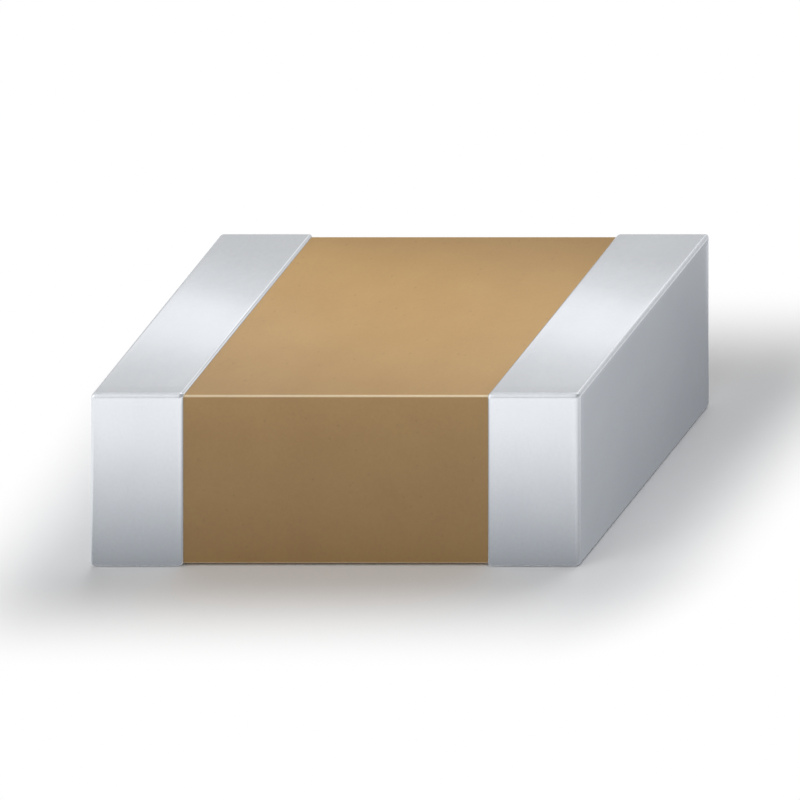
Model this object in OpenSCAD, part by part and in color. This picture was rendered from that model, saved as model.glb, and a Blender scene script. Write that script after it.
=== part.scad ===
// Surface-mount ceramic capacitor: a multilayer chip with two wraparound terminations.
// It lies along X and stands on its terminations at z = 0. All sizes are in millimetres.

/* [Chip] */
// Length over the two end faces
chip_length = 3.2; // [2.4:0.05:4.6]
// Width over the termination bands
chip_width = 1.6; // [1.2:0.05:3.2]
// Height over the termination bands
chip_height = 1.13; // [0.7:0.01:1.8]
// How far a termination's band reaches along the chip from its end face
band_length = 0.605; // [0.3:0.005:0.8]

/* [Ceramic] */
// Radius that tumbling leaves on the edges of the ceramic block
tumbled_radius = 0.012; // [0.008:0.002:0.06]
// Bare ceramic above the top electrode and below the bottom one
cover_thickness = 0.15; // [0.08:0.01:0.25]
// Bare ceramic along each long side of an electrode
side_margin = 0.2; // [0.1:0.01:0.3]
// Bare ceramic past an electrode's free end
end_margin = 0.25; // [0.1:0.01:0.4]

/* [Electrodes] */
// Number of electrodes, joined to the left and the right end by turns
electrode_count = 24; // [4:1:48]
// Thickness of one electrode
electrode_thickness = 0.002; // [0.001:0.0005:0.004]

/* [Terminations] */
// Thickness of the fired copper on the end face
copper_end = 0.04; // [0.02:0.005:0.08]
// Thickness of the fired copper on the four sides
copper_band = 0.008; // [0.006:0.001:0.03]
// Thickness of the nickel barrier
nickel_thickness = 0.003; // [0.002:0.001:0.006]
// Thickness of the tin finish
tin_thickness = 0.005; // [0.003:0.001:0.01]

/* [Hidden] */
$fn = 48;

// Layers of a termination, counted outwards from the ceramic
CERAMIC = 0;
COPPER = 1;
NICKEL = 2;
TIN = 3;

// Height of a layer's outer surface over the ceramic, on the end face and on the sides
plating = nickel_thickness + tin_thickness;
end_build = [0, copper_end, copper_end + nickel_thickness, copper_end + plating];
side_build = [0, copper_band, copper_band + nickel_thickness, copper_band + plating];

// Size of the ceramic block, which is what the terminations leave of the chip
ceramic_size = [
    chip_length - 2 * end_build[TIN],
    chip_width - 2 * side_build[TIN],
    chip_height - 2 * side_build[TIN]
];

// Electrodes fill the height between the two covers evenly
electrode_size = [
    ceramic_size.x - end_margin,
    ceramic_size.y - 2 * side_margin,
    electrode_thickness
];
electrode_pitch = (ceramic_size.z - 2 * cover_thickness - electrode_thickness) / (electrode_count - 1);

// Cuts reach this far past the surface that they open
overshoot = 0.1;

function outer_radius(layer) = tumbled_radius + side_build[layer];

// A rounded rim meets the ceramic this far short of the cap's own full length
function rim_setback(layer) =
    outer_radius(layer) - sqrt(pow(outer_radius(layer), 2) - pow(tumbled_radius, 2));

// Each layer wraps over the rim of the one below it by its own thickness
function cap_length(layer) =
    band_length + rim_setback(TIN) - 2 * (side_build[TIN] - side_build[layer]);

function cap_size(layer) =
    [cap_length(layer), ceramic_size.y + 2 * side_build[layer], ceramic_size.z + 2 * side_build[layer]];

function two_digits(number) = str(number < 10 ? "0" : "", number);
function electrode_name(number) = str("electrode_", two_digits(number));
function electrode_side(number) = number % 2 == 1 ? -1 : 1;

// Rectangle with round corners, centred
module rounded_rectangle(size, radius) {
    square([size.x, size.y - 2 * radius], center = true);
    square([size.x - 2 * radius, size.y], center = true);
    for (x = [-1, 1], y = [-1, 1])
        translate([x * (size.x / 2 - radius), y * (size.y / 2 - radius)])
            circle(radius);
}

// Block with all its edges rounded, centred: what its three rounded outlines have in common,
// seen from above, from the end and from the front
module rounded_block(size, radius) {
    intersection() {
        linear_extrude(size.z + overshoot, center = true)
            rounded_rectangle([size.x, size.y], radius);
        rotate([90, 0, 90])
            linear_extrude(size.x + overshoot, center = true)
                rounded_rectangle([size.y, size.z], radius);
        rotate([90, 0, 0])
            linear_extrude(size.y + overshoot, center = true)
                rounded_rectangle([size.x, size.z], radius);
    }
}

// The chip is drawn about its own middle and stood on the board at z = 0
module on_board() {
    translate([0, 0, chip_height / 2])
        children();
}

// Where one electrode lies, from the end that it is joined to. extra lengthens it past that end.
module electrode_blade(number, extra = 0) {
    side = electrode_side(number);
    height = (number - (electrode_count + 1) / 2) * electrode_pitch;
    translate([side * (end_margin + extra) / 2, 0, height])
        cube([electrode_size.x + extra, electrode_size.y, electrode_size.z], center = true);
}

// Outer form of one end's termination up to a layer, as if it were solid
module cap(side, layer) {
    translate([side * (ceramic_size.x / 2 + end_build[layer] - cap_length(layer) / 2), 0, 0])
        rounded_block(cap_size(layer), outer_radius(layer));
}

// One layer of a termination: its outer form, less what lies beneath it
module cap_layer(side, layer) {
    on_board()
        difference() {
            cap(side, layer);
            if (layer > COPPER)
                cap(side, layer - 1);
            rounded_block(ceramic_size, tumbled_radius);
        }
}

// Sintered dielectric with a slot for each electrode, open at the end where that one is joined
module ceramic_body() {
    color("#c2a57b")
        on_board()
            difference() {
                rounded_block(ceramic_size, tumbled_radius);
                for (number = [1 : electrode_count])
                    electrode_blade(number, overshoot);
            }
}

// Printed and fired nickel electrode
module electrode(number) {
    color("#8d8a82")
        on_board()
            electrode_blade(number);
}

// Fired copper that joins the electrodes of its end
module copper_termination(side) {
    color("#b5714a")
        cap_layer(side, COPPER);
}

// Plated nickel that keeps the solder off the copper
module nickel_barrier(side) {
    color("#a7a498")
        cap_layer(side, NICKEL);
}

// Plated tin that the solder wets
module tin_plating(side) {
    color("#dbdfe2")
        cap_layer(side, TIN);
}

ceramic_body();
for (number = [1 : electrode_count])
    electrode(number);
copper_termination(-1);  // copper_termination_left
copper_termination(1);  // copper_termination_right
nickel_barrier(-1);  // nickel_barrier_left
nickel_barrier(1);  // nickel_barrier_right
tin_plating(-1);  // tin_plating_left
tin_plating(1);  // tin_plating_right
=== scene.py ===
# %% [markdown]
# # A ceramic chip capacitor
#
# The chip is 3.2 mm long and has no leads. A block of sintered ceramic holds a stack of thin nickel
# electrodes. Each end of the block is wrapped in three metal layers, fired copper, plated nickel and plated
# tin, and those join the electrodes to the circuit board.
#
# The construction comes from the CAD frame. It is loaded first, and every piece that is made here takes its
# size and its place from it, in metres.

import bmesh
import bpy
import numpy as np
from mathutils import Matrix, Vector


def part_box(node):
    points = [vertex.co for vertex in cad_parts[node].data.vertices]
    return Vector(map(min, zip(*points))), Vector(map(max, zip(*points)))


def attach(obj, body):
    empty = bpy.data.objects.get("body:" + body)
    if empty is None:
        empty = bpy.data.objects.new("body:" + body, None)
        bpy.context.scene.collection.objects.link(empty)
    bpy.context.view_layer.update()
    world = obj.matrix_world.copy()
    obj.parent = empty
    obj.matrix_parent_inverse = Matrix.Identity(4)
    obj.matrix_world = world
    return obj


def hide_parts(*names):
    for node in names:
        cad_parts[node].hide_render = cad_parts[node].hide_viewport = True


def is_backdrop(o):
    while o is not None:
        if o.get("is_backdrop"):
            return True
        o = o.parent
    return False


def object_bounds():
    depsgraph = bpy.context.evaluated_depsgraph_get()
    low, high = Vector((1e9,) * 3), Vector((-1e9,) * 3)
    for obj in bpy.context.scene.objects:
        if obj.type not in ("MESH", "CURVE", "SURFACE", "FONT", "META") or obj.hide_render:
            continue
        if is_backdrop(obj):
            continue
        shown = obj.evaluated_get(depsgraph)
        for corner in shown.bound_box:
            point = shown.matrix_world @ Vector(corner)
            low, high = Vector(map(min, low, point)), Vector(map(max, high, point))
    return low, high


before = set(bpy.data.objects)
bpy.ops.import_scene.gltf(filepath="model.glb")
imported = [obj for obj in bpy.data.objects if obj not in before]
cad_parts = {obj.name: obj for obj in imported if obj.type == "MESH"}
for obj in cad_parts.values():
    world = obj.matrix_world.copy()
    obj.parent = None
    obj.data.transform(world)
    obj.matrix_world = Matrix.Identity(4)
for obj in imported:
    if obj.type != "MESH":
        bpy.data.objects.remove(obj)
MM = 1e-3
UM = 1e-6
cad_low, cad_high = (np.array(corner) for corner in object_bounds())
print("CAD box in mm:", (cad_low / MM).round(3), (cad_high / MM).round(3))

# %% [markdown]
# ## The camera
#
# The picture is an oblique drawing: the long side is seen square on, and the depth runs up to the right at
# a slant. A camera that simply turns can't give that, because its picture plane is always square to its
# line of sight. A parallel camera with a sheared matrix can: the picture plane stays parallel to the chip's
# long side, and all the rays arrive at a slant. Blender keeps a shear only in a parent inverse matrix, so
# the camera hangs on an empty, and the sheared matrix is written there.

# %% The oblique camera
PICTURE_PX = 800
# Pixel of the long side's lower left corner, its length, and how the depth runs from there, right and up
CORNER_PX = np.array([91, 567])
LENGTH_PX = 487
DEPTH_PX = np.array([131, 162])
# The real chip's rounded corners draw in from those pixels, so it is shown this much larger to fill them
ROUNDING_GAIN = 1.005
CAMERA_DISTANCE = 20 * MM
# The camera shows what lies between these distances from it
NEAR_LIMIT = 0.1 * MM
FAR_LIMIT = 1000 * MM

chip_size = cad_high - cad_low
px_per_metre = LENGTH_PX / chip_size[0]
slant = np.array([DEPTH_PX[0], -chip_size[1] * px_per_metre, DEPTH_PX[1]])
towards_camera = slant / np.linalg.norm(slant)
from_corner = (PICTURE_PX / 2 - CORNER_PX) * (1, -1) / px_per_metre
picture_middle = cad_low + (from_corner[0], 0, from_corner[1])

camera_data = bpy.data.cameras.new("oblique_camera")
camera_data.type = "ORTHO"
camera_data.ortho_scale = PICTURE_PX / px_per_metre / ROUNDING_GAIN
camera_data.clip_start = NEAR_LIMIT
camera_data.clip_end = FAR_LIMIT
camera = bpy.data.objects.new("oblique_camera", camera_data)
camera_stand = bpy.data.objects.new("camera_stand", None)
for thing in (camera, camera_stand):
    bpy.context.scene.collection.objects.link(thing)
camera.parent = camera_stand
camera_axes = np.eye(4)
camera_axes[:3, 0] = (1, 0, 0)
camera_axes[:3, 1] = (0, 0, 1)
camera_axes[:3, 2] = towards_camera
camera_axes[:3, 3] = picture_middle + towards_camera * CAMERA_DISTANCE
camera.matrix_parent_inverse = Matrix(camera_axes.tolist())
bpy.context.scene.camera = camera
print("the picture is", round(camera_data.ortho_scale / MM, 3), "mm wide")

# %% [markdown]
# ## Colours and nodes
#
# A colour is written as the sRGB hex that a paint program shows, and one function turns it into the linear
# light that the renderer adds up. One helper adds a shader node together with its settings and its links,
# so that each material below reads as a list of what feeds what.

# %% Colour and node helpers
def linear(hex_colour):
    """sRGB hex such as "#c2a57b" to linear red, green, blue and alpha, by the sRGB curve."""
    srgb = np.array([int(hex_colour[i : i + 2], 16) for i in (1, 3, 5)]) / 255
    curve = np.where(srgb <= 0.04045, srgb / 12.92, ((srgb + 0.055) / 1.055) ** 2.4)
    return (*curve.tolist(), 1.0)


def add_node(tree, kind, inputs, **settings):
    """Adds a node, and returns it. inputs goes from socket to value, and a value that is a socket is
    linked."""
    node = tree.nodes.new(kind)
    for setting, value in settings.items():
        setattr(node, setting, value)
    for socket, value in inputs.items():
        if isinstance(value, bpy.types.NodeSocket):
            tree.links.new(value, node.inputs[socket])
        else:
            node.inputs[socket].default_value = value
    return node


# The Mix node has a set of sockets for each kind of value, and these are the numbers of its colour sockets
MIX_FIRST = 6
MIX_SECOND = 7
MIX_RESULT = 2
# Noise is nominally 0 to 1, but nearly all of it lies between these
NOISE_LOW = 0.3
NOISE_HIGH = 0.7


def start_material(name):
    """A new material with an empty node tree, and the Object coordinates that its patterns are laid out
    in."""
    material = bpy.data.materials.new(name)
    material.use_nodes = True
    material.node_tree.nodes.clear()
    place = add_node(material.node_tree, "ShaderNodeTexCoord", {}).outputs["Object"]
    return material, material.node_tree, place


print("a grey of #808080 is", round(linear("#808080")[0], 3), "of white in linear light")

# %% [markdown]
# ## Clouds and grains
#
# Neither plated metal nor fired ceramic is one even colour. Broad clouds come from small differences in the
# plating or the firing, and a fine mottle comes from the grains. Both are noise in the chip's own
# coordinates, so that they keep their real size and don't slide. Their sum mixes two colours that lie close
# together, and the grains also drive the gloss and the relief, so that all three agree.

# %% Mottled colour
CLOUD_SIZE = 0.35 * MM
CLOUD_DETAIL = 2.0


def mottled(tree, place, grain, grain_settings, dull, bright):
    """Noise in clouds plus noise in grains, stretched to 0 to 1, mixes the dull colour with the bright one.
    Returns the sockets of the colour and of the grains. grain is their size in metres, and grain_settings
    are the other settings of their noise."""
    cloud = add_node(
        tree, "ShaderNodeTexNoise", {"Vector": place, "Scale": 1 / CLOUD_SIZE, "Detail": CLOUD_DETAIL}
    )
    grains = add_node(tree, "ShaderNodeTexNoise", {"Vector": place, "Scale": 1 / grain, **grain_settings})
    both = add_node(
        tree, "ShaderNodeMath", {0: cloud.outputs["Fac"], 1: grains.outputs["Fac"]}, operation="ADD"
    )
    share = add_node(
        tree,
        "ShaderNodeMapRange",
        {"Value": both.outputs["Value"], "From Min": 2 * NOISE_LOW, "From Max": 2 * NOISE_HIGH},
    )
    colour = add_node(
        tree,
        "ShaderNodeMix",
        {"Factor": share.outputs["Result"], MIX_FIRST: linear(dull), MIX_SECOND: linear(bright)},
        data_type="RGBA",
    )
    return colour.outputs[MIX_RESULT], grains.outputs["Fac"]


print("clouds are about", round(CLOUD_SIZE * px_per_metre), "pixels wide in the picture")

# %% [markdown]
# ## Metals
#
# The outermost layer is matte tin, laid down by electroplating. It is a mass of crystals a few micrometres
# across, so it shines like satin: a lamp shows in it as a soft glow with a fine sparkle. The current
# gathers at a chip's edges, so the crystals grow coarser there and the edges are duller. The layers below
# it, and the electrodes, are metals too, and differ in colour, gloss and grain, so one function makes them
# all. A pixel is about 7 micrometres wide, so each grain is drawn about three pixels wide, coarser than the
# real one, or it wouldn't show.

# %% Metals
# Name of the attribute that says how far each point of a piece lies on a rounded edge
EDGE_SHARE = "edge_share"
CRYSTAL_DETAIL = 3.0
# How far the roughness strays from its mean with the grains
UNEVENNESS = 0.01


def crystalline_metal(name, dull, bright, roughness, grain, relief, coarser_edge=0.0):
    """Mottled metal: grain is the size of its grains and relief their height, both in metres. Its roughness
    strays a little with the grains, and coarser_edge is how much rougher the rounded edges are."""
    material, tree, place = start_material(name)
    colour, grains = mottled(tree, place, grain, {"Detail": CRYSTAL_DETAIL}, dull, bright)
    edge = add_node(tree, "ShaderNodeAttribute", {}, attribute_name=EDGE_SHARE)
    uneven = add_node(
        tree,
        "ShaderNodeMapRange",
        {
            "Value": grains,
            "From Min": NOISE_LOW,
            "From Max": NOISE_HIGH,
            "To Min": roughness - UNEVENNESS,
            "To Max": roughness + UNEVENNESS,
        },
    )
    rough = add_node(
        tree,
        "ShaderNodeMath",
        {0: edge.outputs["Fac"], 1: coarser_edge, 2: uneven.outputs["Result"]},
        operation="MULTIPLY_ADD",
    )
    relief_map = add_node(tree, "ShaderNodeBump", {"Height": grains, "Distance": relief, "Strength": 1.0})
    shader = add_node(
        tree,
        "ShaderNodeBsdfPrincipled",
        {
            "Base Color": colour,
            "Metallic": 1.0,
            "Roughness": rough.outputs["Value"],
            "Normal": relief_map.outputs["Normal"],
        },
    )
    add_node(tree, "ShaderNodeOutputMaterial", {"Surface": shader.outputs["BSDF"]})
    return material


matte_tin = crystalline_metal(
    "electroplated_matte_tin",
    "#e6e9ee",
    "#edf0f4",
    roughness=0.2,
    grain=20 * UM,
    relief=0.02 * UM,
    coarser_edge=0.25,
)
barrier_nickel = crystalline_metal(
    "electroplated_nickel",
    "#b5b0a4",
    "#c4bfb4",
    roughness=0.35,
    grain=15 * UM,
    relief=0.2 * UM,
    coarser_edge=0.1,
)
fired_copper = crystalline_metal(
    "fired_copper", "#b3704c", "#ca8a66", roughness=0.5, grain=30 * UM, relief=1.0 * UM
)
fired_nickel = crystalline_metal(
    "fired_nickel_ink", "#86837b", "#a29e95", roughness=0.5, grain=15 * UM, relief=0.4 * UM
)
print("metals:", matte_tin.name, barrier_nickel.name, fired_copper.name, fired_nickel.name)

# %% [markdown]
# ## Ceramic
#
# The block is barium titanate, sintered from sheets of fine powder, with a little rare earth and nickel in
# it that gives the tan colour. Its grains are under a micrometre, far below a pixel, so what the eye gets
# is an even satin tan with faint clouds, a fine tooth and a few darker pores. The tooth is drawn about
# three pixels wide, or it wouldn't show. Barium titanate bends light strongly, so the fired skin is
# glossier than clay would be. Its rounded edges are paler, partly from wear by tumbling and partly as a
# painted highlight along every edge.

# %% Sintered ceramic
TOOTH_SIZE = 22 * UM
TOOTH_HEIGHT = 0.5 * UM
TOOTH_SETTINGS = {"Detail": 4.0, "Roughness": 0.6}
PORE_SPACING = 90 * UM
# A pore's radius as a share of the spacing, and how much of the pores' colour its middle takes
PORE_RADIUS = 0.12
PORE_STRENGTH = 0.35
# Roughness in the hollows and on the grains
SKIN_ROUGHNESS = (0.36, 0.44)
SKIN_IOR = 1.6


def sintered_ceramic():
    """Tan ceramic: clouds and grain mix two tans, pores darken it, and the edges are paler, partly as wear
    and partly as a painted highlight.
    """
    material, tree, place = start_material("sintered_barium_titanate")
    body, grains = mottled(tree, place, TOOTH_SIZE, TOOTH_SETTINGS, "#a7814b", "#b08b53")
    cells = add_node(tree, "ShaderNodeTexVoronoi", {"Vector": place, "Scale": 1 / PORE_SPACING})
    pores = add_node(
        tree,
        "ShaderNodeMapRange",
        {
            "Value": cells.outputs["Distance"],
            "From Min": PORE_RADIUS / 2,
            "From Max": PORE_RADIUS,
            "To Min": PORE_STRENGTH,
            "To Max": 0.0,
        },
    )
    pitted = add_node(
        tree,
        "ShaderNodeMix",
        {"Factor": pores.outputs["Result"], MIX_FIRST: body, MIX_SECOND: linear("#8f6d42")},
        data_type="RGBA",
    )
    # Paler rounded edges: partly wear from tumbling, partly a painted highlight along every edge
    edge = add_node(tree, "ShaderNodeAttribute", {}, attribute_name=EDGE_SHARE)
    worn_and_highlit = add_node(
        tree,
        "ShaderNodeMix",
        {
            "Factor": edge.outputs["Fac"],
            MIX_FIRST: pitted.outputs[MIX_RESULT],
            MIX_SECOND: linear("#e9d2ac"),
        },
        data_type="RGBA",
    )
    rough = add_node(
        tree,
        "ShaderNodeMapRange",
        {
            "Value": grains,
            "From Min": NOISE_LOW,
            "From Max": NOISE_HIGH,
            "To Min": SKIN_ROUGHNESS[0],
            "To Max": SKIN_ROUGHNESS[1],
        },
    )
    relief_map = add_node(
        tree, "ShaderNodeBump", {"Height": grains, "Distance": TOOTH_HEIGHT, "Strength": 1.0}
    )
    shader = add_node(
        tree,
        "ShaderNodeBsdfPrincipled",
        {
            "Base Color": worn_and_highlit.outputs[MIX_RESULT],
            "Roughness": rough.outputs["Result"],
            "IOR": SKIN_IOR,
            "Normal": relief_map.outputs["Normal"],
        },
    )
    add_node(tree, "ShaderNodeOutputMaterial", {"Surface": shader.outputs["BSDF"]})
    return material


ceramic = sintered_ceramic()
print("ceramic:", ceramic.name)

# %% [markdown]
# ## From arrays to a piece
#
# Each new piece is worked out as arrays of points and faces, already in its place. Its flat faces should
# shade flat right up to their rounded edges, which weighted normals see to. Each point also carries how far
# it lies on a rounded edge, where the ceramic is painted paler, as wear and as a painted highlight, and tin
# is coarser, and the materials read that as an attribute. Points that fall together, as at the corners of
# an end face, are merged, and so no face is left there without any area.

# %% Make a piece
# Radius that tumbling leaves on the ceramic's edges, the same as in the CAD model
TUMBLED_RADIUS = 0.012 * MM
# Faces that turn by more than this from one to the next keep a sharp edge between them
SHARP_ANGLE = np.radians(40)
# Lean from the face beside it at which a surface counts as all edge. An edge's middle leans by 45 degrees.
EDGE_LEAN = np.radians(30)
# Points nearer than this fall together, which is far less than the thinnest layer
MERGE_DISTANCE = 0.01 * UM


def edge_share(points, low, high, radius):
    """How far each point of a rounded block lies on an edge, from 0 on a flat face to 1 in the middle part
    of an edge. The way out from the inner box, which is the block less its radius, leans away from its
    nearest axis there, and the cosine of that lean is its largest part over its length."""
    out = points - np.clip(points, low + radius, high - radius)
    length = np.linalg.norm(out, axis=1)
    cosine = np.where(length > 0, np.abs(out).max(1) / np.where(length > 0, length, 1), 1)
    return np.clip(np.arccos(cosine) / EDGE_LEAN, 0, 1)


def make_piece(name, points, faces, edges, material, replaced):
    """Puts points, an (n, 3) array, and faces into a mesh that rides on the chip and stands for a CAD node.
    edges is how far each point lies on a rounded edge."""
    mesh = bpy.data.meshes.new(name)
    mesh.from_pydata(points.tolist(), [], faces)
    mesh.attributes.new(EDGE_SHARE, "FLOAT", "POINT").data.foreach_set("value", edges)
    net = bmesh.new()
    net.from_mesh(mesh)
    bmesh.ops.remove_doubles(net, verts=net.verts, dist=MERGE_DISTANCE)
    net.to_mesh(mesh)
    net.free()
    mesh.shade_smooth()
    mesh.set_sharp_from_angle(angle=SHARP_ANGLE)
    mesh.materials.append(material)
    piece = bpy.data.objects.new(name, mesh)
    bpy.context.scene.collection.objects.link(piece)
    piece.modifiers.new("flat_faces_shade_flat", "WEIGHTED_NORMAL").keep_sharp = True
    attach(piece, "root")
    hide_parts(replaced)
    print(name, "has", len(mesh.vertices), "points and", len(mesh.polygons), "faces")


print("points closer than", round(MERGE_DISTANCE / UM, 3), "micrometres are merged")

# %% [markdown]
# ## Terminations
#
# Each end is dipped in copper paste and fired, then plated with nickel and with tin. Every layer is a thin
# cap over five faces, with a rounded rim where it stops on the ceramic. A cap could be a block with another
# block cut out, but a cut leaves uneven triangles along a skin that is only 3 micrometres thick. So each
# cap is a section, drawn once, and carried round the chip. Carried round at a fixed inset from the sides,
# every point of the section makes a rounded rectangle.

# %% Sizes of the layers
# How far a finished band reaches from the chip's end, the same as in the CAD model
BAND_LENGTH = 0.605 * MM
tin_box, nickel_box, copper_box, ceramic_box = (
    [np.array(corner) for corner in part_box(node)]
    for node in ("tin_plating_right", "nickel_barrier_right", "copper_termination_right", "ceramic_body")
)
chip_end, chip_side = tin_box[1][:2]
mid_height = (tin_box[0][2] + tin_box[1][2]) / 2
side_build = chip_side - ceramic_box[1][1]
outer_radius = TUMBLED_RADIUS + side_build
rim_setback = outer_radius - np.sqrt(outer_radius**2 - TUMBLED_RADIUS**2)
print("the metal is", round(side_build / UM, 1), "micrometres thick on the sides")

# %% The ring round the chip
CORNER_STEPS = 8
SIDE_STEPS = 24


def ring_round_chip():
    """One turn round a rounded rectangle, as two arrays: core is the place on the rectangle less its
    rounding, in half sizes, and out is the direction in which the rounding adds to it. Each corner turns
    out through a quarter circle with core still, and each side moves core from corner to corner with out
    still."""
    corners = np.array([(1, 1), (-1, 1), (-1, -1), (1, -1)], float)
    angle = (np.arange(4)[:, None] + np.linspace(0, 1, CORNER_STEPS + 1)) * np.pi / 2
    turning = np.stack([np.cos(angle), np.sin(angle)], 2)
    along = np.linspace(0, 1, SIDE_STEPS + 1)[1:-1, None]
    sides = corners[:, None] * (1 - along) + np.roll(corners, -1, 0)[:, None] * along
    core = np.concatenate([np.repeat(corners[:, None], CORNER_STEPS + 1, 1), sides], 1)
    out = np.concatenate([turning, np.repeat(turning[:, -1:], SIDE_STEPS - 1, 1)], 1)
    return core.reshape(-1, 2), out.reshape(-1, 2)


ring_core, ring_out = ring_round_chip()
print("a ring has", len(ring_core), "points")

# %% The section of a layer
ARC_STEPS = 8
BAND_STEPS = 16


def layer_section(box):
    """Section of a layer's outer surface, as distance from the chip's end and inset from its sides. A
    quarter circle joins the end face to the side, a straight line follows the band, and a part of a circle
    rounds the rim down to the ceramic. All layers share the centre of the first circle."""
    end = chip_end - box[1][0]
    inset = chip_side - box[1][1]
    radius = outer_radius - inset
    turn = np.linspace(0, np.pi / 2, ARC_STEPS + 1)
    edge = np.stack([end + radius * (1 - np.cos(turn)), outer_radius - radius * np.sin(turn)], 1)
    if inset >= side_build:
        return edge
    rim = BAND_LENGTH + rim_setback - inset
    turn = np.linspace(0, np.arccos(TUMBLED_RADIUS / radius), ARC_STEPS + 1)
    shoulder = np.stack([rim - radius * (1 - np.sin(turn)), outer_radius - radius * np.cos(turn)], 1)
    along = np.linspace(0, 1, BAND_STEPS + 1)[1:-1, None]
    return np.concatenate([edge, edge[-1] * (1 - along) + shoulder[0] * along, shoulder])


print("the tin's section has", len(layer_section(tin_box)), "points")

# %% The cap of a layer
END_STEPS = 16


def carry_round(section, side):
    """Rings of points, one for each point of the section. A ring's half sizes shrink with the inset once
    that is past the rounding, and before that its rounding shrinks instead. On the end face no rounding is
    left, and the points of a ring's corner fall together."""
    inset = section[:, 1, None, None]
    half = np.array([chip_side, mid_height]) - np.maximum(inset, outer_radius)
    across = ring_core * half + ring_out * np.maximum(outer_radius - inset, 0)
    along = np.repeat(side * (chip_end - section[:, 0])[:, None], len(ring_core), 1)
    return np.concatenate([along[:, :, None], across], 2) + (0, 0, mid_height)


def cap_mesh(box, box_beneath, side):
    """Closed shell between a layer's outer surface and that of the layer beneath it. Its rings run from the
    middle of the end face out to the rim and back inside, and a fan of triangles closes the middle at both
    ends."""
    outside, inside = (carry_round(layer_section(b), side) for b in (box, box_beneath))
    middle, middle_beneath = outside[0].mean(0), inside[0].mean(0)
    share = np.linspace(0, 1, END_STEPS + 1)[1:-1, None, None]
    face = middle + (outside[0] - middle) * share
    face_beneath = middle_beneath + (inside[0] - middle_beneath) * share
    rings = np.concatenate([face, outside, inside[::-1], face_beneath[::-1]])
    count = rings.shape[1]
    number = np.arange(rings.shape[0] * count).reshape(-1, count)
    after = np.roll(number, -1, 1)
    quads = np.stack([number[:-1], after[:-1], after[1:], number[1:]], 2).reshape(-1, 4)
    first = np.stack([np.full(count, number.size), after[0], number[0]], 1)
    last = np.stack([np.full(count, number.size + 1), number[-1], after[-1]], 1)
    faces = quads[:, ::-side].tolist() + np.concatenate([first, last])[:, ::-side].tolist()
    return np.concatenate([rings.reshape(-1, 3), [middle, middle_beneath]]), faces


print("an end face has", END_STEPS - 1, "rings between its middle and its rounded edge")

# %% The six caps
layers = (
    ("tin_plating", tin_box, nickel_box, matte_tin, "plated_tin"),
    ("nickel_barrier", nickel_box, copper_box, barrier_nickel, "plated_nickel"),
    ("copper_termination", copper_box, ceramic_box, fired_copper, "fired_copper"),
)
for layer, box, box_beneath, metal, slot in layers:
    for end_name, side in (("left", -1), ("right", 1)):
        cap_points, cap_faces = cap_mesh(box, box_beneath, side)
        about_middle = cap_points - (0, 0, mid_height)
        reach = np.abs(about_middle).max(0)
        cap_edges = edge_share(about_middle, -reach, reach, outer_radius - (chip_side - box[1][1]))
        node = f"{layer}_{end_name}"
        make_piece(f"{node}_shell", cap_points, cap_faces, cap_edges, metal, node)

# %% [markdown]
# ## The ceramic block
#
# The block has a slot for every electrode, open at the end where that one is joined to the copper. Cutting
# 24 slots with booleans is slow and leaves ragged faces. The block is built from a lattice of cells
# instead. The lattice has a line at each slot's edges and close lines at the rounded edges. Cells inside a
# slot are empty, and the block's skin is every face between a full cell and an empty one, so it is closed
# by the way it is made. Last, the points near the outer edges are moved onto the rounding.

# %% Lattice of the block
# Steps between the rounded edges in length, width and height
FLAT_STEPS = (12, 6, 4)
ceramic_low, ceramic_high = ceramic_box
electrodes = sorted(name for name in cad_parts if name.startswith("electrode_"))
slots = np.array([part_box(name) for name in electrodes])


def lattice_lines(axis):
    """Places of the lattice lines along one axis: across each rounded edge at the tangents of equal steps
    of angle, evenly between the edges, and at both sides of every slot. Of lines that fall together one is
    kept."""
    low, high = ceramic_low[axis] + TUMBLED_RADIUS, ceramic_high[axis] - TUMBLED_RADIUS
    edge = TUMBLED_RADIUS * np.tan(np.linspace(0, np.pi / 4, ARC_STEPS + 1))
    cuts = slots[:, :, axis].ravel()
    cuts = cuts[(cuts > low) & (cuts < high)]
    lines = [low - edge, high + edge, np.linspace(low, high, FLAT_STEPS[axis] + 1), cuts]
    lines = np.sort(np.concatenate(lines))
    return lines[np.diff(lines, prepend=-1) > MERGE_DISTANCE]


lines = [lattice_lines(axis) for axis in range(3)]
middles = [(along[1:] + along[:-1]) / 2 for along in lines]
full = np.ones([len(along) for along in middles], bool)
for slot_low, slot_high in slots:
    inside = [(along > slot_low[axis]) & (along < slot_high[axis]) for axis, along in enumerate(middles)]
    full[np.ix_(*inside)] = False
print("lattice of", full.shape, "cells,", int((~full).sum()), "of them in slots")

# %% Skin of the block
def lattice_skin(full):
    """Faces between full and empty cells, as numbers of lattice points, turned to face the empty side.
    Along each axis a face lies where full changes from one cell to the next, and its corners follow round
    by the other two."""
    shape = np.array(full.shape) + 1
    number = np.arange(shape.prod()).reshape(shape)
    skin = []
    for axis in range(3):
        steps = np.diff(np.pad(full, [(int(k == axis),) * 2 for k in range(3)]).astype(int), axis=axis)
        second, third = np.eye(3, dtype=int)[[(axis + 1) % 3, (axis + 2) % 3]]
        for change in (1, -1):
            cell = np.argwhere(steps == change)
            loop = [cell, cell + second, cell + second + third, cell + third]
            skin.append(np.stack([number[tuple(corner.T)] for corner in loop], 1)[:, ::-change])
    return np.concatenate(skin)


def round_edges(points, low, high, radius):
    """Moves points of a square-edged block onto its rounding. A point's way out from the inner box keeps
    its direction, and its length becomes the largest of its parts, which turns a square edge into a quarter
    circle."""
    core = np.clip(points, low + radius, high - radius)
    out = points - core
    length = np.linalg.norm(out, axis=1)
    return core + out * (np.abs(out).max(1) / np.where(length > 0, length, 1))[:, None]


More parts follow.
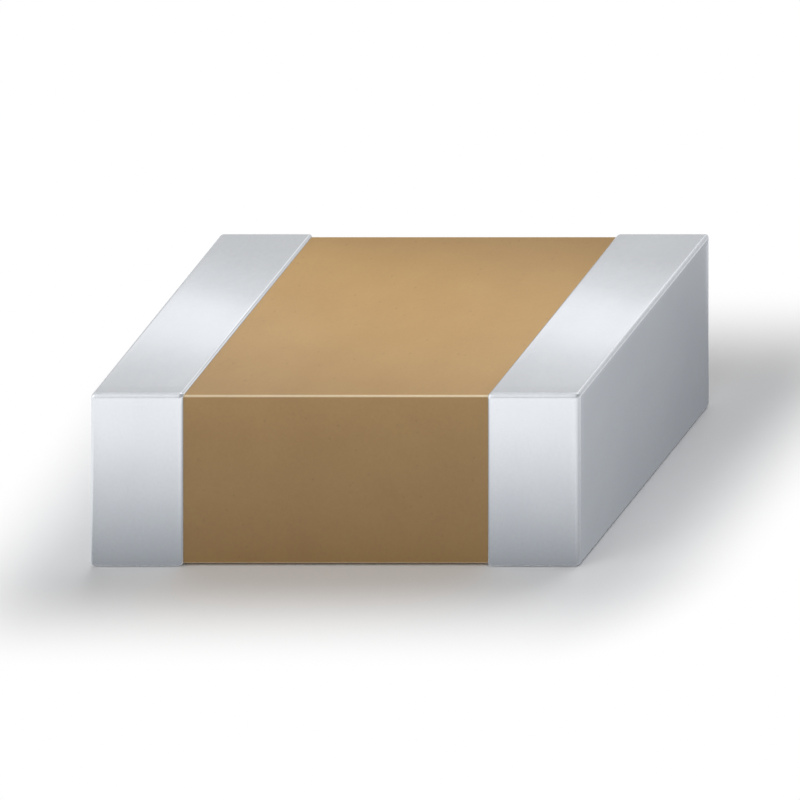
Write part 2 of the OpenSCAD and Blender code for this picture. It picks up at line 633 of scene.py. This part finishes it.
used, block_faces = np.unique(lattice_skin(full), return_inverse=True)
block_points = np.stack(np.meshgrid(*lines, indexing="ij"), 3).reshape(-1, 3)[used]
block_points = round_edges(block_points, ceramic_low, ceramic_high, TUMBLED_RADIUS)
block_edges = edge_share(block_points, ceramic_low, ceramic_high, TUMBLED_RADIUS)
block_faces = block_faces.reshape(-1, 4).tolist()
make_piece("ceramic_block", block_points, block_faces, block_edges, ceramic, "ceramic_body")

# %% [markdown]
# ## Electrodes
#
# Each electrode is a flat rectangle of nickel ink, 2 micrometres thick, printed on a sheet before the
# sheets were stacked and fired. The CAD solid already is that rectangle, so it stays, and only gets its
# finish.

# %% Finish the electrodes
for name in electrodes:
    for material_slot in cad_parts[name].material_slots:
        material_slot.material = fired_nickel
print(len(electrodes), "electrodes finished")

# %% [markdown]
# ## The table
#
# The chip stands on a plain white table, matte, so that it shows the chip's own soft shadow and nothing
# else. A drawing's background is pure white. The table reaches that away from the chip by a glow that only
# the camera, and rays that are mirrored or pass through, can see. The glow fades out towards the chip,
# where the shadow is kept, and it puts no light on the chip. The longest shadow falls to the right and the
# back, so the glow keeps further away there.

# %% White table
TABLE_HALF = 300 * MM
# Distances from the shadow's field at which the glow starts and is full
GLOW_FROM = 0.1 * MM
GLOW_FULL = 1.0 * MM
# How much further the shadow's field reaches than the chip's footprint, to the right and to the back
SHADOW_REACH = np.array([0.15, 0.15]) * MM
# Size of the faint flecks in the table's paint
FLECK_SIZE = 0.2 * MM
FLECK_DETAIL = 3.0

field_low = cad_low[:2]
field_high = cad_high[:2] + SHADOW_REACH


def white_table():
    """Matte white, mixed with a glow of strength 1 by how far the place lies outside the shadow's field:
    the length of what is left of its distance from the field's middle, less half the field's size, in x and
    y."""
    material, tree, place = start_material("matte_white_table")
    middle = (*((field_low + field_high) / 2), 0)
    half = (*((field_high - field_low) / 2), 0)
    away = add_node(tree, "ShaderNodeVectorMath", {0: place, 1: middle}, operation="SUBTRACT")
    away = add_node(tree, "ShaderNodeVectorMath", {0: away.outputs[0]}, operation="ABSOLUTE")
    away = add_node(tree, "ShaderNodeVectorMath", {0: away.outputs[0], 1: half}, operation="SUBTRACT")
    away = add_node(tree, "ShaderNodeVectorMath", {0: away.outputs[0], 1: (0, 0, 0)}, operation="MAXIMUM")
    away = add_node(tree, "ShaderNodeVectorMath", {0: away.outputs[0]}, operation="LENGTH")
    share = add_node(
        tree,
        "ShaderNodeMapRange",
        {"Value": away.outputs["Value"], "From Min": GLOW_FROM, "From Max": GLOW_FULL},
        interpolation_type="SMOOTHSTEP",
    )
    path = add_node(tree, "ShaderNodeLightPath", {})
    seen = add_node(
        tree,
        "ShaderNodeMath",
        {0: path.outputs["Is Camera Ray"], 1: path.outputs["Is Glossy Ray"]},
        operation="MAXIMUM",
    )
    seen = add_node(
        tree,
        "ShaderNodeMath",
        {0: seen.outputs[0], 1: path.outputs["Is Transmission Ray"]},
        operation="MAXIMUM",
    )
    share = add_node(
        tree, "ShaderNodeMath", {0: share.outputs["Result"], 1: seen.outputs[0]}, operation="MULTIPLY"
    )
    flecks = add_node(
        tree, "ShaderNodeTexNoise", {"Vector": place, "Scale": 1 / FLECK_SIZE, "Detail": FLECK_DETAIL}
    )
    white = add_node(
        tree,
        "ShaderNodeMix",
        {"Factor": flecks.outputs["Fac"], MIX_FIRST: linear("#fafafa"), MIX_SECOND: linear("#fdfdfd")},
        data_type="RGBA",
    )
    matte = add_node(tree, "ShaderNodeBsdfDiffuse", {"Color": white.outputs[MIX_RESULT]})
    glow = add_node(tree, "ShaderNodeEmission", {"Strength": 1.0})
    mix = add_node(
        tree, "ShaderNodeMixShader", {0: share.outputs[0], 1: matte.outputs[0], 2: glow.outputs[0]}
    )
    add_node(tree, "ShaderNodeOutputMaterial", {"Surface": mix.outputs[0]})
    return material


table_mesh = bpy.data.meshes.new("table")
table_corners = np.array([(-1, -1, 0), (1, -1, 0), (1, 1, 0), (-1, 1, 0)]) * TABLE_HALF
table_mesh.from_pydata(table_corners.tolist(), [], [(0, 1, 2, 3)])
table_mesh.materials.append(white_table())
table = bpy.data.objects.new("table", table_mesh)
bpy.context.scene.collection.objects.link(table)
table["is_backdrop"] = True
print("the table is", round(2 * TABLE_HALF / MM), "mm wide")

# %% [markdown]
# ## Graded cards of painted shade
#
# The front and the right end mirror the table beside them. On the bare table the front would be white
# nearly down to its foot, and the end white to its upper corner. In the picture the front runs from white
# to grey, and the end is an even darker grey. That shade is painted: graded cards lie beside the chip where
# the metal mirrors them, as a photographer's would, but each is a glowing sheet whose dim light is painted
# shade. Each card is a bluish grey beside the chip and turns into the table's white away from it, so that
# its border doesn't show. Its slanted side follows the camera's line of sight after the metal has mirrored
# it, so that the chip's other faces show little of the card. Only mirrored rays see the cards.

# %% Graded cards
CARD_HEIGHT = 0.01 * MM
# Colour of the cards' light where they are darkest
CARD_SHADE = "#f2f8ff"
# How far the cards reach from the chip's front right corner: to the front, to the back and to the right
FRONT_DEPTH = 2.5 * MM
END_DEPTH = 6 * MM
RIGHT_REACH = 3 * MM
# How much more of a card there is than its face mirrors, as matte tin blurs the card's border
CARD_MARGIN = 0.3 * MM
# Light at the chip's nearest bottom corner, where white is 1, and its change for each metre in x and in y
FRONT_CARD_LIGHT = 0.35
FRONT_CARD_RISE = (0, -0.45 / MM)
END_CARD_LIGHT = 0.42
END_CARD_RISE = (0.23 / MM, -0.065 / MM)


def painted_shade_glow(name, light, rise):
    """Glow that is light at the chip's nearest bottom corner, and from there on adds rise times the way
    gone along x and y, up to white. The lighter it is, the less of its shade is left. It is painted shade,
    for the metal to mirror."""
    material, tree, place = start_material(name)
    corner = (cad_high[0], cad_low[1], 0)
    away = add_node(tree, "ShaderNodeVectorMath", {0: place, 1: corner}, operation="SUBTRACT")
    change = add_node(
        tree, "ShaderNodeVectorMath", {0: away.outputs[0], 1: (*rise, 0)}, operation="DOT_PRODUCT"
    )
    level = add_node(tree, "ShaderNodeMath", {0: change.outputs["Value"], 1: light}, operation="ADD")
    level = add_node(tree, "ShaderNodeMath", {0: level.outputs[0], 1: 1.0}, operation="MINIMUM")
    tint = add_node(
        tree,
        "ShaderNodeMix",
        {"Factor": level.outputs[0], MIX_FIRST: linear(CARD_SHADE), MIX_SECOND: linear("#ffffff")},
        data_type="RGBA",
    )
    glow = add_node(
        tree, "ShaderNodeEmission", {"Color": tint.outputs[MIX_RESULT], "Strength": level.outputs[0]}
    )
    add_node(tree, "ShaderNodeOutputMaterial", {"Surface": glow.outputs[0]})
    return material


def graded_card(name, corners, light, rise):
    """Level card just over the table, with its corners in x and y, glowing with painted shade for the metal
    to mirror.
    """
    mesh = bpy.data.meshes.new(name)
    mesh.from_pydata([(*corner, CARD_HEIGHT) for corner in corners], [], [list(range(len(corners)))])
    mesh.materials.append(painted_shade_glow(f"{name}_glow", light, rise))
    card = bpy.data.objects.new(name, mesh)
    bpy.context.scene.collection.objects.link(card)
    card.visible_camera = False
    card.visible_diffuse = False
    card.visible_shadow = False
    card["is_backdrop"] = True


# A mirrored line of sight runs this far to the side for each metre to the front or to the back
sight_lean = -towards_camera[0] / towards_camera[1]
right = cad_high[0]
front = cad_low[1]
far_right = right + RIGHT_REACH
far_front = front - FRONT_DEPTH
far_back = front + END_DEPTH
left_limit = cad_low[0] - CARD_MARGIN
back_limit = cad_high[1] + CARD_MARGIN
far_left = left_limit - sight_lean * FRONT_DEPTH
far_end = right + sight_lean * (far_back - back_limit)
front_corners = [(far_left, far_front), (far_right, far_front), (far_right, front), (left_limit, front)]
end_corners = [(right, front), (far_right, front), (far_right, far_back)]
end_corners += [(far_end, far_back), (right, back_limit)]
# The cards glow with painted shade, seen only in what the front and the end mirror
graded_card("front_shade_card", front_corners, FRONT_CARD_LIGHT, FRONT_CARD_RISE)
graded_card("end_shade_card", end_corners, END_CARD_LIGHT, END_CARD_RISE)
print("the cards lean by", round(np.degrees(np.arctan(sight_lean)), 1), "degrees")

# %% [markdown]
# ## Studio light
#
# Metal looks like what it mirrors, so the light is placed by what each face of the chip shows to the
# camera. The top shows the room low behind the chip. The front and the right end show the table beside
# them, with the cards' painted shade laid on it. The rounded edges show all that lies between. A plain dim
# room, a little lighter at its horizon, comes first. Below the horizon it is as white as the table. The
# table hides that from the chip, but in a low view the bottom of the picture looks in under the table.

# %% The room
# The room's light at the horizon and overhead, where white is 1
HORIZON = 0.4
ROOM = 0.3
# Height over the horizon, as the sine of the angle, where the room is down to its own level
HORIZON_TOP = 0.4

world = bpy.data.worlds.new("studio_room")
bpy.context.scene.world = world
world.use_nodes = True
room_tree = world.node_tree
room_tree.nodes.clear()
direction = add_node(room_tree, "ShaderNodeTexCoord", {}).outputs["Generated"]
height = add_node(room_tree, "ShaderNodeSeparateXYZ", {"Vector": direction}).outputs["Z"]
fall = add_node(
    room_tree,
    "ShaderNodeMapRange",
    {"Value": height, "From Min": 0.0, "From Max": HORIZON_TOP, "To Min": HORIZON, "To Max": ROOM},
    interpolation_type="SMOOTHSTEP",
)
below = add_node(room_tree, "ShaderNodeMath", {0: height, 1: 0.0}, operation="LESS_THAN")
level = add_node(
    room_tree, "ShaderNodeMath", {0: fall.outputs["Result"], 1: below.outputs[0]}, operation="MAXIMUM"
)
light = add_node(
    room_tree, "ShaderNodeBackground", {"Color": linear("#ffffff"), "Strength": level.outputs[0]}
)
add_node(room_tree, "ShaderNodeOutputWorld", {"Surface": light.outputs["Background"]})
print("the room's light goes from", HORIZON, "to", ROOM)

# %% [markdown]
# ## Softboxes
#
# A rectangular lamp lights what is matte and also shows as an image in what is polished. Here half of the
# lamps have only one of those jobs, as cards and flags give them in a studio, so that each face can be set
# by itself.

# %% Softboxes
def heading(azimuth, elevation):
    """Unit vector to a place in the room, from degrees. Its height is the sine of the elevation, and the
    cosine is shared out by the azimuth, which is 0 behind the chip and 90 to its right."""
    turn, rise = np.radians([azimuth, elevation])
    return np.array([np.sin(turn) * np.cos(rise), np.cos(turn) * np.cos(rise), np.sin(rise)])


print("azimuth 90 and elevation 0 point along", heading(90, 0).round(3))


def softbox(name, place, aim, width, height, radiance, job="both", colour="#ffffff"):
    """Rectangular lamp at place that faces aim, with its width level. Its power is radiance times area
    times pi, and then it looks as bright as a white wall at radiance 1. Its job is to light what is matte,
    to show in what is polished, or both."""
    lamp_data = bpy.data.lights.new(name, "AREA")
    lamp_data.shape = "RECTANGLE"
    lamp_data.size = width
    lamp_data.size_y = height
    lamp_data.energy = radiance * width * height * np.pi
    lamp_data.color = linear(colour)[:3]
    back = np.array(place) - np.array(aim)
    back = back / np.linalg.norm(back)
    right = np.cross((0, 0, 1), back)
    right = right / np.linalg.norm(right)
    axes = np.eye(4)
    axes[:3, :4] = np.stack([right, np.cross(back, right), back, place], 1)
    lamp = bpy.data.objects.new(name, lamp_data)
    bpy.context.scene.collection.objects.link(lamp)
    lamp.matrix_world = Matrix(axes.tolist())
    lamp.visible_camera = False
    lamp.visible_diffuse = job in ("matte", "both")
    lamp.visible_glossy = job in ("polished", "both")
    print(f"{name} gives {lamp_data.energy * 1000:.3g} mW, job: {job}")


# %% [markdown]
# ## The lamps far away
#
# Six softboxes stand round the chip at nearly twenty times its length.
#
# The left key stands low at the front left and lights the front of the block. Its soft shadow falls to the
# right and the back. The back key stands high behind the chip, so it makes the top lighter than the front,
# and its shadow is a short one at the chip's foot, towards the camera.
#
# The four panels are dimmer, and are there for the metal to mirror. The top mirrors the back panel. The
# edges round the top sweep from there over the right panel to the end, and over the top panel and the left
# panel to the front. As nothing in that sweep is much lighter or darker than the rest, the edges stay quiet.

# %% The lamps far away
LAMP_DISTANCE = 60 * MM
# Name, azimuth and elevation in degrees, width, height, radiance and job
FAR_LAMPS = (
    ("left_key", 247, 26, 40 * MM, 32 * MM, 1.5, "both"),
    ("back_key", 10, 69, 44 * MM, 30 * MM, 1.25, "both"),
    ("back_panel", 328, 32, 64 * MM, 46 * MM, 0.35, "polished"),
    ("right_panel", 25, 32, 66 * MM, 46 * MM, 0.38, "polished"),
    ("top_panel", 285, 68, 50 * MM, 40 * MM, 0.3, "polished"),
    ("left_panel", 226, 38, 70 * MM, 70 * MM, 0.55, "polished"),
)

for name, azimuth, elevation, width, height, radiance, job in FAR_LAMPS:
    softbox(name, heading(azimuth, elevation) * LAMP_DISTANCE, (0, 0, 0), width, height, radiance, job)

# %% [markdown]
# ## The strips close by
#
# A lamp far away looks the same in all of a flat face, so the light bands across the top have to come from
# strips close to the chip. Each termination has a band strip, which hangs where the camera's line of sight
# goes on after the termination's top has mirrored it, and so the tin shows it as a band. A wide dim strip
# behind it lets the band fade slowly. Matte ceramic mirrors too little for that, and instead it is lighter
# nearest to the overhead strip, which hangs just above it and would draw a white line on the tin's front
# edge if metal saw it. That strip is a little cooler than the rest, so that the tan is paler on top than on
# the front. In the picture the bands slant down to the right, so these strips are turned a little, seen
# from above. The front strip hangs before the front's top edge, and the block gets darker from there to its
# foot.

# %% The strips close by
# Length of the strips over and before the whole chip, and of those over one termination
STRIP_LENGTH = 4.5 * MM
BAND_STRIP_LENGTH = 1.9 * MM
# Name, width, distance from the top and radiance
BAND_STRIPS = (
    ("band_strip", 0.3 * MM, 1.5 * MM, 0.29),
    ("band_fade", 0.66 * MM, 1.6 * MM, 0.12),
)
OVERHEAD_WIDTH = 1.2 * MM
OVERHEAD_RADIANCE = 1.42
OVERHEAD_COLOUR = "#eef4ff"
FRONT_STRIP_WIDTH = 0.4 * MM
FRONT_STRIP_RADIANCE = 1.0
# Turns seen from above, where clockwise is negative
BAND_TURN = np.radians(-15.7)
OVERHEAD_TURN = np.radians(-9.4)
# From the middle of the top to the middle of the band, and from there to the overhead strip
BAND_OFFSET = (0, -0.1 * MM, 0)
OVERHEAD_OFFSET = (0, 0.12 * MM, 0.75 * MM)
# From the middle of the front's top edge to the front strip, and to the place that it faces
FRONT_STRIP_OFFSET = (0, -0.6 * MM, 0.4 * MM)
FRONT_AIM_OFFSET = (0, 0, -0.3 * MM)


def turned(offset, turn):
    """Turns the part of offset along y round the vertical axis, to minus its sine along x and its cosine
    along y. The height stays, and what offset had along x is left out."""
    return np.array([-offset[1] * np.sin(turn), offset[1] * np.cos(turn), offset[2]])


band_middle = np.array([0, 0, cad_high[2]]) + BAND_OFFSET
mirrored_sight = towards_camera * (-1, -1, 1)
facing = turned(mirrored_sight, BAND_TURN)
for end_name, side in (("left", -1), ("right", 1)):
    end_middle = band_middle + (side * (cad_high[0] - BAND_LENGTH / 2), 0, 0)
    for strip_name, width, distance, radiance in BAND_STRIPS:
        place = end_middle + mirrored_sight * distance
        softbox(f"{end_name}_{strip_name}", place, place - facing, BAND_STRIP_LENGTH, width, radiance)
overhead_place = band_middle + OVERHEAD_OFFSET
softbox(
    "overhead_strip",
    overhead_place,
    overhead_place - turned(OVERHEAD_OFFSET, OVERHEAD_TURN),
    STRIP_LENGTH,
    OVERHEAD_WIDTH,
    OVERHEAD_RADIANCE,
    "matte",
    OVERHEAD_COLOUR,
)
top_edge = np.array([0, cad_low[1], cad_high[2]])
front_place = top_edge + FRONT_STRIP_OFFSET
front_aim = top_edge + FRONT_AIM_OFFSET
softbox(
    "front_strip", front_place, front_aim, STRIP_LENGTH, FRONT_STRIP_WIDTH, FRONT_STRIP_RADIANCE, "matte"
)

# %% [markdown]
# ## Finish
#
# The colours are shown with the Standard view transform.

# %% Finish
bpy.context.scene.view_settings.view_transform = "Standard"
